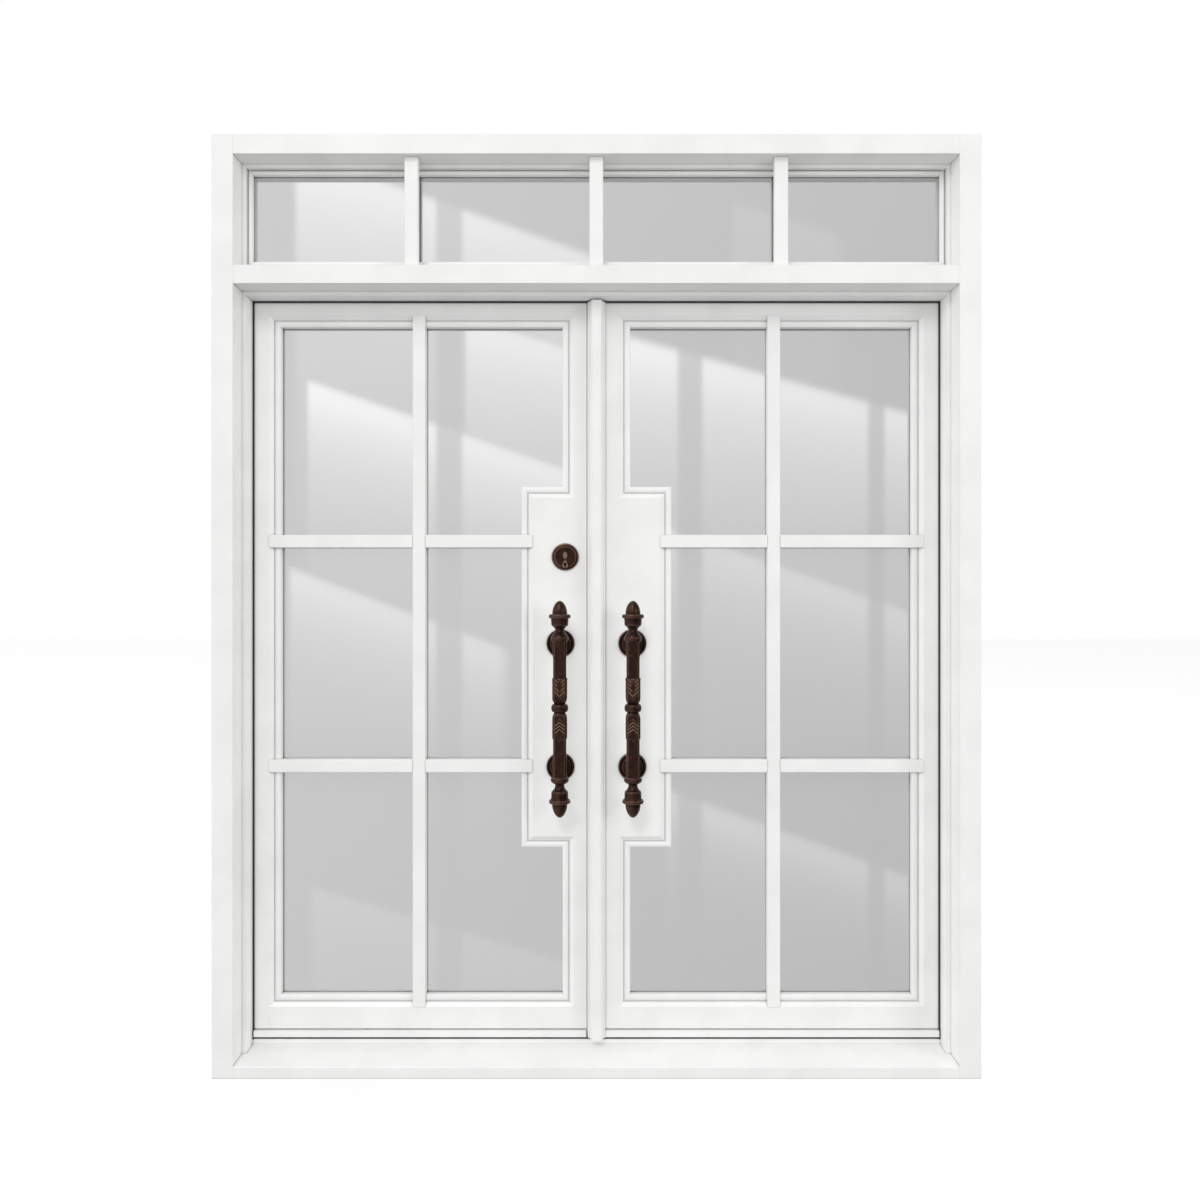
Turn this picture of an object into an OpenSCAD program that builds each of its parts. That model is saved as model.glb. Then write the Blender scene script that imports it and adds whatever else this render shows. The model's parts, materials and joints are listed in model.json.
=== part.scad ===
// In-opening pair of glazed timber doors under a fixed four-light transom.
// Origin: centre of the sill's underside. +X right seen from outside, +Y into the house, +Z up.

/* [Frame] */
// Overall width of the frame
frame_w = 2040; // [1900:10:2200]
// Overall height of the frame
frame_h = 2504; // [2480:4:2540]
// Depth of the frame, outside face to inside face
frame_depth = 152; // [148:1:160]
// Width of a jamb's outside face, up to its arris
jamb_face = 56.5; // [54:0.5:60]
// Height of the head's outside face
head_face = 51.5; // [46:0.5:60]
// Height of the transom bar's lower arris
transom_z = 2109; // [2105:1:2115]
// Height of the transom bar's outside face
transom_face = 48.5; // [44:0.5:56]
// Spacing of the three bars in the transom light
light_pitch = 493.5; // [480:0.5:500]
// Height of the sill's outside face
sill_face = 31; // [26:1:34]
// Height of the sill's flat under the leaves
sill_top = 66; // [64:1:68]

/* [Leaves] */
// Thickness of a leaf
leaf_t = 57; // [54:1:60]
// Gap between a leaf and the frame
leaf_gap = 3; // [2.5:0.5:4]
// Gap between the two meeting stiles
meeting_gap = 3; // [3:0.5:4]
// Face width of a hinge stile
stile_w = 52; // [48:1:60]
// Height of the top rail's face
top_rail_h = 46; // [40:1:56]
// Height of the bottom rail's face
bottom_rail_h = 83; // [75:1:100]
// Half the distance between the meeting stiles' moulding arrises
meeting_face = 62; // [60:1:66]
// Distance of the lock panel's arris from the centre line
panel_x = 175; // [165:1:185]
// Lower edge of the lock panel's face
panel_z0 = 620; // [600:5:640]
// Upper edge of the lock panel's face
panel_z1 = 1549; // [1520:1:1580]
// Width of a glazing bar
bar_w = 35; // [30:1:40]
// Distance of the upright glazing bars from the centre line
upright_x = 486.5; // [470:0.5:500]
// Height of the lower glazing bar's centre
lower_bar_z = 813.5; // [790:0.5:830]
// Height of the upper glazing bar's centre
upper_bar_z = 1430; // [1400:1:1450]
// Thickness of the laminated glass
glass_t = 8; // [6:1:9]

/* [Ironmongery] */
// Height of a butt hinge
hinge_h = 100; // [90:5:120]
// Height of the lock rose's centre
lock_z = 1387; // [1370:1:1395]
// Backset of the lock rose from the active leaf's edge
backset = 58.5; // [55:0.5:62]
// Travel of the deadbolt
bolt_throw = 20; // [16:1:20]
// Travel of a flush bolt
rod_throw = 18; // [14:1:18]
// Distance of the pull handles from the centre line
pull_x = 98.5; // [96:0.5:102]
// Height of the pull handles' middle
pull_z = 975; // [960:1:990]
// Distance of a pull's axis from the leaf's face
pull_out = 55; // [52:1:58]
// Height of the upper pull rose
upper_rose_z = 1150; // [1145:1:1152]
// Height of the lower pull rose
lower_rose_z = 812; // [808:1:815]

/* [Hidden] */
$fn = 48;

// Colours
white = [0.93, 0.93, 0.92];
bronze = [0.23, 0.16, 0.12];
steel = [0.66, 0.66, 0.65];
rubber = [0.12, 0.12, 0.12];
glass = [0.78, 0.81, 0.82, 0.5];

// A depth d is counted from the frame's outside face; y turns it into the Y coordinate.
function y(d) = d - frame_depth / 2;

// Frame sections, as [distance from the arris towards the opening, depth]
edge_d = 16;
splay_in = 6;
step_d = 51;
step_reach = 18;
stop_d = 68;
stop_back = 91;
stop_reach = 21.5;
rebate_back = 10.5;
glass_d = 80;
light_rebate = 16;
light_step = 17;
light_reach = 30;
bead_at = [23.5, 69];
bead_r = [6.5, 4.5];
bead_arc = [for (a = [200:20:340]) [bead_at[0] + bead_r[0] * cos(a), bead_at[1] + bead_r[1] * sin(a)]];
reveal = [[0, 0], [0.3, edge_d], [splay_in, step_d]];
door_section = concat(reveal, [[step_reach, step_d], [stop_reach, stop_d], [stop_reach, stop_back],
    [rebate_back, stop_back], [rebate_back, frame_depth]]);
light_section = concat(reveal, [[light_step, step_d], [light_step, bead_at[1] - 2]], bead_arc,
    [[light_reach, bead_at[1] + 1], [light_reach, glass_d], [light_rebate, glass_d],
    [light_rebate, frame_depth]]);

arris_x = frame_w / 2 - jamb_face;
head_z = frame_h - head_face;
transom_top = transom_z + transom_face;
rebate_x = arris_x - rebate_back;
rebate_z = transom_z - rebate_back;
section_split = transom_z + transom_face / 2;
cut = 1;

// Fixed lights
light_bar_w = 36.5;
light_bar_d = 16;
flange_t = 20;
web_w = 20;
tongue_w = 6;
light_glass_back = glass_d + glass_t;
light_bead_back = light_glass_back + 22;
light_cover = light_reach - light_rebate;
glazing_gap = 3;
bar_gap = 0.5;

// Leaves
leaf_front = frame_depth - leaf_t;
leaf_mid = (leaf_front + frame_depth) / 2;
hinge_edge = rebate_x - leaf_gap;
leaf_z0 = sill_top + 4;
leaf_z1 = rebate_z - leaf_gap;
right_meet = 24;
left_meet = right_meet + meeting_gap;
moulding_w = 31;
glass_front = leaf_front + 24.5;
glass_back = glass_front + glass_t;
rebate_u = 15;
pane_u = 18;
// Stuck moulding, as [distance from the face's arris towards the glass, depth]
moulding_front = concat([[0, leaf_front], [10, leaf_front + 7], [12, leaf_front + 7],
    [12, leaf_front + 9], [rebate_u, leaf_front + 9], [rebate_u, leaf_front + 7.5]],
    [for (a = [210:30:330]) [23 + 8 * cos(a), leaf_front + 9.5 + 4 * sin(a)]],
    [[moulding_w, leaf_front + 9.5]]);
moulding = concat(moulding_front, [[moulding_w, glass_front], [rebate_u, glass_front],
    [rebate_u, frame_depth], [0, frame_depth]]);
inner_bead = [[rebate_u + 0.2, glass_back], [moulding_w, glass_back], [moulding_w, glass_back + 14],
    [moulding_w - 3, glass_back + 18], [moulding_w - 10, frame_depth - 2.5],
    [rebate_u + 3, frame_depth - 1], [rebate_u + 0.2, frame_depth - 1]];

// Face arris of the glazed opening, clockwise seen from outside, for the left leaf
stile_x = stile_w - hinge_edge;
drip_x0 = -arris_x + stop_reach + 4;
face_z0 = leaf_z0 + bottom_rail_h;
face_z1 = leaf_z1 - top_rail_h;
opening = [[stile_x, face_z0], [stile_x, face_z1], [-meeting_face, face_z1],
    [-meeting_face, panel_z1], [-panel_x, panel_z1], [-panel_x, panel_z0],
    [-meeting_face, panel_z0], [-meeting_face, face_z0]];

// Glazing bars
bar_proud = 2;
bar_front = leaf_front - bar_proud;
bar_edge = 1.5;
half_lap = (bar_front + glass_front) / 2;
inner_bar_d = frame_depth - 4;
// Section of a leaf's bar in [place across it, depth], with eased outer edges
bar_section = [[-bar_w / 2 + bar_edge, bar_front], [bar_w / 2 - bar_edge, bar_front],
    [bar_w / 2, bar_front + bar_edge], [bar_w / 2, glass_front], [-bar_w / 2, glass_front],
    [-bar_w / 2, bar_front + bar_edge]];

// Drip bar, and the groove over it in the leaf's face
drip_z0 = leaf_z0 + 3;
drip_h = 17.5;
drip_out = 8;
throat = 2;
groove_h = 3.5;
groove_d = 3;

// Seals
seal_show = 4;
seal_t = 3.7;
seal_gap = 0.5;
sill_seal_w = 10;
sill_seal_h = 3;
sill_seal_x = rebate_x - 12;
pile_out = 2.2;
pile_w = 5;
pile_d = leaf_front + 2;
pile_end = 5;

// Astragal on the right leaf, as [x, depth] from its left foot to its right foot
astragal_section = [[-23.3, leaf_front], [-23.3, 82], [-21.8, 80.5], [-18.6, 80.5], [-12.2, 62],
    [-10.7, 60], [11.7, 60], [13.2, 62], [19.6, 80.5], [22.8, 80.5], [24.3, 82], [24.3, leaf_front]];

// Hinges
knuckle_r = 6.5;
pin_r = 4;
pin_play = 0.05;
pin_head = 3;
pin_x = rebate_x - leaf_gap / 2;
pin_y = frame_depth / 2 + 7;
knuckles = 5;
knuckle_gap = 0.3;
plate_t = 2.5;
plate_d = 38;
hinge_z = [leaf_z0 + 200, (leaf_z0 + leaf_z1) / 2, leaf_z1 - 204];
screw_r = 2;
screw_head_r = 4.2;
screw_l = 28;
screw_play = 0.05;
screw_at = [[-38, 10], [-14, 26], [14, 26], [38, 10]];
fixing_r = 4.25;
fixing_pitch = 630;
fixing_z0 = 150;
fixing_d = 130;
fixings = 4;

// Lock
lock_x = -left_meet - backset;
mid_y = y(leaf_mid);
case_w = 86;
case_h = 150;
case_t = 16;
forend_t = 3;
forend_w = 24;
forend_h = 220;
bolt_h = 34;
bolt_t = 14;
bolt_l = 60;
bolt_z = lock_z + 13;
bolt_play = 0.4;
keyhole_z = lock_z - 20;
keyhole_r = 4;
key_slot_w = 3.6;
key_slot_h = 10;
spindle_r = 5;
spindle_fit = 0.05;
// Turned plate of the keyhole's rose, as [radius, height]
dish = [[0, 0], [37.2, 0], [37.2, 2], [35.5, 4.5], [33, 5.5], [31.2, 4.5], [30.4, 7],
    [28.5, 8.5], [26, 9], [0, 9]];
turn_plate = [[spindle_r + spindle_fit, 0], [27, 0], [27, 3], [25, 5], [14, 8],
    [spindle_r + spindle_fit, 8]];
spindle_start = leaf_mid + case_t / 2 + 0.5 - frame_depth;
turn_hub = [[0, spindle_start], [spindle_r, spindle_start], [spindle_r, 8.5], [9, 9], [9, 13],
    [6, 16], [5, 22], [0, 22]];
turn_wing = 9;
turn_half = 10;
turn_t = 6;
strike_half = 60;
rod_r = 5;
rod_x = -right_meet + 12;
rod_play = 0.05;
keep_l = 50;
keep_w = 18;
keep_t = 2;
keep_r = 6;
keep_hole = 24;
rod_l = 150;
rod_catch = 12;
rod_slot = 44;
slot_w = 9;
face_plate_w = 18;
face_plate_l = 160;
face_plate_end = 40;

// Pulls
rose_r = 38.5;
rose_t = 9;
leg_r = 9;
leg_play = 0.3;
shaft_r = 18;
grip_r = 19.3;
grip_half = 84;
shaft_half = 172;
bead_h = 3.5;
middle_bead = [[0, -10], [18, -10], [21.5, -7], [23, -3], [23, 3], [21.5, 7], [18, 10], [0, 10]];
pull_h = 583;
acorn_z = 249.5;
acorn_r = 20;
// Turned end of a pull from the shaft to the tip, as [radius, height over the middle]
turned_end = concat([[0, 170], [16, 170], [20, 181], [24, 185.5], [24, 188.5], [20, 194], [12, 203],
    [11.6, 207], [14, 211], [20, 219], [22.3, 222], [23.3, 237], [28, 238.5], [30.4, 241],
    [30.4, 245], [28, 248.5], [acorn_r, acorn_z]],
    [for (a = [10:10:80]) [acorn_r * cos(a), acorn_z + (pull_h / 2 - acorn_z) * sin(a)]],
    [[0, pull_h / 2]]);
// Turned plate of a pull's rose, as [radius, height]
rose_plate = [[leg_r + leg_play, 0], [rose_r, 0], [rose_r, 3], [37, 5.5], [34.5, 6.5], [32, 5],
    [14, 8], [12, rose_t], [leg_r + leg_play, rose_t]];

module along_z(points, z0, z1) {
    translate([0, 0, z0]) linear_extrude(z1 - z0) polygon(points);
}

// Block between two corners, given as [x, depth, z]
module block(a, b) {
    translate([a[0], y(a[1]), a[2]]) cube([b[0] - a[0], b[1] - a[1], b[2] - a[2]]);
}

// Cylinder along Y, from depth d0 to d1
module rod_y(x, z, r, d0, d1) {
    translate([x, y(d0), z]) rotate([-90, 0, 0]) cylinder(r = r, h = d1 - d0);
}

// Prism across the frame's width from a section in [depth, z]
module across(points, x0, x1) {
    translate([x0, 0, 0]) rotate([90, 0, 90]) linear_extrude(x1 - x0)
        polygon([for (p = points) [y(p[0]), p[1]]]);
}

// ---- Frame ----

module jamb_part(section, z0, z1) {
    edge = [for (p = section) [p[0] - arris_x, y(p[1])]];
    along_z(concat(edge, [[-frame_w / 2, y(frame_depth)], [-frame_w / 2, y(0)]]), z0, z1);
}

module jamb_shape() {
    jamb_part(door_section, 0, section_split);
    jamb_part(light_section, section_split, frame_h);
}

module both_jambs() {
    jamb_shape();
    mirror([1, 0, 0]) jamb_shape();
}

module jamb() {
    difference() {
        jamb_shape();
        for (z = hinge_z)
            translate([-rebate_x - plate_t, y(frame_depth) - plate_d, z - hinge_h / 2])
                cube([plate_t + cut, plate_d + cut, hinge_h]);
        hinge_screw_holes(-rebate_x - plate_t, -1);
        for (i = [0:fixings - 1])
            translate([-frame_w / 2 - cut, y(fixing_d), fixing_z0 + i * fixing_pitch])
                rotate([0, 90, 0]) cylinder(r = fixing_r, h = jamb_face + rebate_back + 2 * cut);
    }
}

module jamb_left() { color(white) jamb(); }
module jamb_right() { color(white) mirror([1, 0, 0]) jamb(); }

// What the jambs take from the ends of a bead whose section runs from height z0 to z1
module bead_ends(z0, z1) {
    for (side = [-1, 1]) translate([side * (arris_x - (light_step + bead_at[0]) / 2), 0, 0])
        block([(light_step - bead_at[0]) / 2, bead_at[1] - 2 * bead_r[1], z0],
            [(bead_at[0] - light_step) / 2, bead_at[1], z1]);
}

module head() {
    edge = [for (p = light_section) [p[1], head_z - p[0]]];
    color(white) difference() {
        across(concat(edge, [[frame_depth, frame_h], [0, frame_h]]), -arris_x, arris_x);
        both_jambs();
        bead_ends(head_z - light_reach, head_z - light_step);
    }
}

module transom_bar() {
    under = [for (p = door_section) [p[1], transom_z - p[0]]];
    over = [for (i = [len(light_section) - 1:-1:0])
        [light_section[i][1], transom_top + light_section[i][0]]];
    color(white) difference() {
        across(concat(under, over), -arris_x, arris_x);
        both_jambs();
        bead_ends(transom_top + light_step, transom_top + light_reach);
        keep_recess(rebate_z, 1);
    }
}

module sill() {
    section = [[0, 0], [0, sill_face - 2], [2, sill_face], [stop_back - 1, sill_top - 12],
        [stop_back, sill_top - 2], [stop_back + 2, sill_top], [frame_depth, sill_top], [frame_depth, 0]];
    color(white) difference() {
        across(section, -arris_x, arris_x);
        both_jambs();
        keep_recess(sill_top, -1);
    }
}

// Recess for a flush bolt's keep and the hole above or below it; up is 1 or -1
module keep_recess(z, up) {
    translate([rod_x - keep_l / 2, mid_y - keep_w / 2, min(z, z + up * keep_t) - (up > 0 ? cut : 0)])
        cube([keep_l, keep_w, keep_t + cut]);
    translate([rod_x, mid_y, min(z, z + up * keep_hole)]) cylinder(r = keep_r, h = keep_hole);
}

module keep(z) {
    translate([rod_x, mid_y, z]) difference() {
        translate([-keep_l / 2, -keep_w / 2, 0]) cube([keep_l, keep_w, keep_t]);
        translate([0, 0, -cut]) cylinder(r = keep_r, h = keep_t + 2 * cut);
    }
}

module bolt_keeps() {
    color(bronze) {
        keep(rebate_z);
        keep(sill_top - keep_t);
    }
}

// ---- Transom light ----

module light_bar(i) {
    half = light_bar_w / 2;
    section = [[-half + bar_edge, light_bar_d], [half - bar_edge, light_bar_d],
        [half, light_bar_d + bar_edge], [half, light_bar_d + flange_t],
        [web_w / 2, light_bar_d + flange_t], [web_w / 2, glass_d], [tongue_w / 2, glass_d],
        [tongue_w / 2, light_glass_back], [-tongue_w / 2, light_glass_back],
        [-tongue_w / 2, glass_d], [-web_w / 2, glass_d], [-web_w / 2, light_bar_d + flange_t],
        [-half, light_bar_d + flange_t], [-half, light_bar_d + bar_edge]];
    color(white) difference() {
        translate([(i - 2) * light_pitch, 0, 0])
            along_z([for (p = section) [p[0], y(p[1])]], transom_top, head_z);
        head();
        transom_bar();
    }
}

module light_bar_1() { light_bar(1); }
module light_bar_2() { light_bar(2); }
module light_bar_3() { light_bar(3); }

// Left and right edge of pane i, each kept clear of what it stands in by the glazing gap
function light_x0(i) = i == 1 ? -arris_x + light_rebate + glazing_gap
    : (i - 3) * light_pitch + tongue_w / 2 + bar_gap;
function light_x1(i) = -light_x0(5 - i);

module transom_pane(i) {
    color(glass) block([light_x0(i), glass_d, transom_top + light_rebate + glazing_gap],
        [light_x1(i), light_glass_back, head_z - light_rebate - glazing_gap]);
}

module transom_pane_1() { transom_pane(1); }
module transom_pane_2() { transom_pane(2); }
module transom_pane_3() { transom_pane(3); }
module transom_pane_4() { transom_pane(4); }

// Inside beads of the transom light: one moulded ring for each pane
module transom_beads() {
    z0 = transom_top + light_rebate;
    z1 = head_z - light_rebate;
    lap = (tongue_w + bar_gap) / 2;
    color(white) for (i = [1:4]) {
        x0 = i == 1 ? -arris_x + light_rebate : light_x0(i) - lap;
        x1 = i == 4 ? arris_x - light_rebate : light_x1(i) + lap;
        difference() {
            block([x0, light_glass_back, z0], [x1, light_bead_back, z1]);
            block([x0 + light_cover, light_glass_back - cut, z0 + light_cover],
                [x1 - light_cover, light_bead_back + cut, z1 - light_cover]);
        }
    }
}

// ---- Seals ----

module weather_seal() {
    x = arris_x - stop_reach - seal_show;
    z = transom_z - stop_reach - seal_show;
    color(rubber) {
        difference() {
            block([-rebate_x + seal_gap, stop_back, sill_top],
                [rebate_x - seal_gap, stop_back + seal_t, rebate_z - seal_gap]);
            block([-x, stop_back - cut, sill_top - cut], [x, stop_back + seal_t + cut, z]);
        }
        block([-sill_seal_x, leaf_front - 1, sill_top],
            [sill_seal_x, leaf_front - 1 + sill_seal_w, sill_top + sill_seal_h]);
    }
}

// Pile strip on the right leaf's edge, just behind the face, where the left leaf swings clear of it
module meeting_seal() {
    color(white) block([-right_meet - pile_out, pile_d, leaf_z0 + pile_end],
        [-right_meet, pile_d + pile_w, leaf_z1 - pile_end]);
}

// ---- Leaf joinery, drawn as the left leaf; the right leaf is its mirror image ----

function unit(v) = v / norm(v);
function at(i) = opening[(i + len(opening)) % len(opening)];
function along(i) = unit(at(i + 1) - at(i));
function inward(i) = [along(i)[1], -along(i)[0]];
function turned(i) = atan2(-along(i)[0], along(i)[1]);
// Corner i of the opening, moved w towards the glass
function corner(i, w) = at(i) + w * (inward(i - 1) + inward(i));

// Stretch i of a moulding that runs round the opening, mitred at both ends
module run(i, section) {
    length = norm(at(i + 1) - at(i));
    mitre = [at(i), at(i + 1), corner(i + 1, moulding_w + cut), corner(i, moulding_w + cut)];
    intersection() {
        translate([at(i)[0], 0, at(i)[1]]) rotate([0, -turned(i), 0])
            along_z([for (p = section) [p[0], y(p[1])]], -moulding_w - cut, length + moulding_w + cut);
        rotate([90, 0, 0]) translate([0, 0, -frame_depth]) linear_extrude(2 * frame_depth)
            polygon(mitre);
    }
}

module drip_groove() {
    block([-hinge_edge - cut, leaf_front - cut, drip_z0 + drip_h],
        [hinge_edge + cut, leaf_front + groove_d, drip_z0 + drip_h + groove_h]);
}

module hinge_stile() {
    color(white) difference() {
        union() {
            block([-hinge_edge, leaf_front, leaf_z0], [stile_x, frame_depth, leaf_z1]);
            run(0, moulding);
        }
        for (z = hinge_z)
            translate([-hinge_edge - cut, y(frame_depth) - plate_d, z - hinge_h / 2])
                cube([plate_t + cut, plate_d + cut, hinge_h]);
        hinge_screw_holes(-hinge_edge + plate_t, 1);
        drip_groove();
    }
}

module meeting_stile(edge) {
    difference() {
        block([-meeting_face, leaf_front, leaf_z0], [edge, frame_depth, leaf_z1]);
        drip_groove();
    }
    block([-panel_x, leaf_front, panel_z0], [-meeting_face, frame_depth, panel_z1]);
    for (i = [2:6]) run(i, moulding);
}

module top_rail() {
    color(white) {
        block([stile_x, leaf_front, face_z1], [-meeting_face, frame_depth, leaf_z1]);
        run(1, moulding);
    }
}

module bottom_rail() {
    color(white) {
        difference() {
            block([stile_x, leaf_front, leaf_z0], [-meeting_face, frame_depth, face_z0]);
            drip_groove();
        }
        run(7, moulding);
    }
}

module pane() {
    color(glass) rotate([90, 0, 0]) translate([0, 0, -y(glass_back)]) linear_extrude(glass_t)
        polygon([for (i = [0:7]) corner(i, pane_u)]);
}

module beads() { color(white) for (i = [0:7]) run(i, inner_bead); }

// Drip bar under the bottom rail, from x0 to x1, with a throat under its nose
module drip_bar(x0, x1) {
    nose = leaf_front - drip_out;
    section = [[leaf_front, drip_z0], [leaf_front, drip_z0 + drip_h], [nose, drip_z0 + drip_h - 1],
        [nose, drip_z0], [nose + throat, drip_z0], [nose + throat, drip_z0 + throat],
        [nose + 2 * throat, drip_z0 + throat], [nose + 2 * throat, drip_z0]];
    color(white) across(section, x0, x1);
}

// Outline of a bar in [place along it, depth], coped over the moulding from s0 to s1
function coped(s0, s1) = concat(
    [[s0, bar_front], [s1, bar_front]], [for (p = moulding_front) [s1 - p[0], p[1]]],
    [[s1 - moulding_w, glass_front], [s0 + moulding_w, glass_front]],
    [for (i = [len(moulding_front) - 1:-1:0]) [s0 + moulding_front[i][0], moulding_front[i][1]]]);

module upright_bar() {
    color(white) difference() {
        intersection() {
            across([for (p = coped(face_z0, face_z1)) [p[1], p[0]]],
                -upright_x - bar_w / 2, -upright_x + bar_w / 2);
            translate([-upright_x, 0, 0])
                along_z([for (p = bar_section) [p[0], y(p[1])]], face_z0, face_z1);
        }
        for (z = [lower_bar_z, upper_bar_z])
            block([-upright_x - bar_w, half_lap, z - bar_w / 2],
                [-upright_x + bar_w, glass_front + cut, z + bar_w / 2]);
    }
}

module level_bar(z) {
    color(white) difference() {
        intersection() {
            along_z([for (p = coped(stile_x, -panel_x)) [p[0], y(p[1])]], z - bar_w / 2, z + bar_w / 2);
            translate([0, 0, z]) across([for (p = bar_section) [p[1], p[0]]], stile_x, -panel_x);
        }
        block([-upright_x - bar_w / 2, bar_front - cut, z - bar_w],
            [-upright_x + bar_w / 2, half_lap, z + bar_w]);
    }
}

// Bars on the inside of the glass, halved together into one lattice
module inner_bars() {
    half = bar_w / 2;
    section = [[-half, glass_back], [half, glass_back], [half, inner_bar_d - bar_edge],
        [half - bar_edge, inner_bar_d], [-half + bar_edge, inner_bar_d], [-half, inner_bar_d - bar_edge]];
    color(white) {
        translate([-upright_x, 0, 0]) along_z([for (p = section) [p[0], y(p[1])]],
            face_z0 + moulding_w, face_z1 - moulding_w);
        for (z = [lower_bar_z, upper_bar_z])
            translate([0, 0, z]) across([for (p = section) [p[1], p[0]]],
                stile_x + moulding_w, -panel_x - moulding_w);
    }
}

// ---- Hinges, drawn on the left side ----

// Screws or their holes in the plate whose wooden side is at x; into is the way they go in
module hinge_screws(x, into, play) {
    for (z = hinge_z, s = screw_at)
        translate([x - into * plate_t, y(frame_depth) - s[1], z + s[0]]) rotate([0, into * 90, 0]) {
            cylinder(r = screw_r + play, h = screw_l);
            cylinder(r1 = screw_head_r + play, r2 = screw_r + play, h = plate_t);
        }
}

module hinge_screw_holes(x, into) { hinge_screws(x, into, screw_play); }

// Plate with its knuckles; first is 0 or 1 and says which of the knuckles it carries
module hinge_half(x0, first) {
    step = hinge_h / knuckles;
    for (z = hinge_z) translate([0, 0, z - hinge_h / 2]) {
        translate([x0, y(frame_depth) - plate_d, 0]) cube([plate_t, plate_d, hinge_h]);
        for (k = [first:2:knuckles - 1]) translate([0, 0, k * step + (k == 0 ? 0 : knuckle_gap / 2)]) {
            length = step - (k == 0 || k == knuckles - 1 ? knuckle_gap / 2 : knuckle_gap);
            translate([x0, y(frame_depth), 0]) cube([plate_t, pin_y - y(frame_depth), length]);
            translate([-pin_x, pin_y, 0]) cylinder(r = knuckle_r, h = length);
        }
    }
}

module frame_half() {
    difference() {
        hinge_half(-rebate_x - plate_t, 0);
        hinge_screw_holes(-rebate_x - plate_t, -1);
    }
    for (z = hinge_z) translate([-pin_x, pin_y, z - hinge_h / 2]) {
        translate([0, 0, -pin_head]) cylinder(r = pin_r, h = hinge_h + 2 * pin_head);
        for (end = [-pin_head, hinge_h]) translate([0, 0, end]) cylinder(r = knuckle_r - 1, h = pin_head);
    }
}

module leaf_half() {
    difference() {
        hinge_half(-hinge_edge, 1);
        hinge_screw_holes(-hinge_edge + plate_t, 1);
        for (z = hinge_z) translate([-pin_x, pin_y, z - hinge_h])
            cylinder(r = pin_r + pin_play, h = 2 * hinge_h);
    }
}

module both_sides() {
    children();
    mirror([1, 0, 0]) children();
}

module frame_hinge_halves() { color(bronze) both_sides() frame_half(); }
module frame_hinge_screws() { color(bronze) both_sides() hinge_screws(-rebate_x - plate_t, -1, 0); }
module left_hinge_halves() { color(bronze) leaf_half(); }
module left_hinge_screws() { color(bronze) hinge_screws(-hinge_edge + plate_t, 1, 0); }
module right_hinge_halves() { color(bronze) mirror([1, 0, 0]) leaf_half(); }
module right_hinge_screws() { color(bronze) mirror([1, 0, 0]) hinge_screws(-hinge_edge + plate_t, 1, 0); }

// ---- Lock ----

// Block centred on the leaf's thickness
module mid_block(x0, x1, width, z0, z1) {
    translate([x0, mid_y - width / 2, z0]) cube([x1 - x0, width, z1 - z0]);
}

module bolt_space(x0, x1) {
    mid_block(x0, x1, bolt_t + 2 * bolt_play, bolt_z - bolt_h / 2 - bolt_play,
        bolt_z + bolt_h / 2 + bolt_play);
}

// The case and its forend, up to x1; the stile is cut by the same blocks
module case_block(x1) {
    mid_block(-left_meet - case_w, x1, case_t, lock_z - case_h / 2, lock_z + case_h / 2);
}

module forend_block(x1) {
    mid_block(-left_meet - forend_t, x1, forend_w, lock_z - forend_h / 2, lock_z + forend_h / 2);
}

module lock_case() {
    color(steel) difference() {
        union() {
            case_block(-left_meet - forend_t);
            forend_block(-left_meet);
        }
        bolt_space(-left_meet - bolt_l - 3, -left_meet + cut);
    }
}

module deadbolt() {
    color(steel) mid_block(-left_meet - bolt_l - 1, -left_meet - 1, bolt_t, bolt_z - bolt_h / 2,
        bolt_z + bolt_h / 2);
}

// Key-shaped prism along Y between two depths
module keyhole(d0, d1) {
    rod_y(lock_x, keyhole_z, keyhole_r, d0, d1);
    block([lock_x - key_slot_w / 2, d0, keyhole_z - key_slot_h], [lock_x + key_slot_w / 2, d1, keyhole_z]);
}

module left_lock_stile() {
    color(white) difference() {
        meeting_stile(-left_meet);
        case_block(-left_meet + cut);
        forend_block(-left_meet + cut);
        keyhole(leaf_front - cut, leaf_mid);
        rod_y(lock_x, lock_z, spindle_r + 3, leaf_mid, frame_depth + cut);
    }
}

// Flat shape of a drop: a round of r0 drawn up to a smaller round of r1, s above it
module drop(r0, r1, s) {
    hull() {
        circle(r0, $fn = 32);
        translate([0, s]) circle(r1, $fn = 32);
    }
}

// Flat shape with its X and Y turned into X and Z, raised outwards from depth d1 to d0
module raised(z, d0, d1) {
    translate([lock_x, y(d1), z]) rotate([90, 0, 0]) linear_extrude(d1 - d0) children();
}

module escutcheon() {
    color(bronze) difference() {
        union() {
            translate([lock_x, y(leaf_front), lock_z]) rotate([90, 0, 0]) rotate_extrude() polygon(dish);
            raised(keyhole_z - 4, leaf_front - 11.5, leaf_front - 1.5) drop(7.8, 3, 12);
            raised(lock_z + 4, leaf_front - 11, leaf_front - 1.5) intersection() {
                translate([6.5, 0]) circle(12.4);
                translate([-6.5, 0]) circle(12.4);
            }
        }
        keyhole(leaf_front - 12.5, leaf_front + cut);
    }
}

module turn_rose() {
    color(bronze) translate([lock_x, y(frame_depth), lock_z]) rotate([-90, 0, 0])
        rotate_extrude() polygon(turn_plate);
}

module thumb_turn() {
    color(bronze) translate([lock_x, y(frame_depth), lock_z]) rotate([-90, 0, 0]) {
        rotate_extrude() polygon(turn_hub);
        translate([-turn_t / 2, 0, 20]) rotate([90, 0, 90]) linear_extrude(turn_t) {
            for (side = [-1, 1]) translate([side * turn_half, 0]) circle(turn_wing);
            square([2 * turn_half, 2 * turn_wing], center = true);
        }
    }
}

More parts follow.
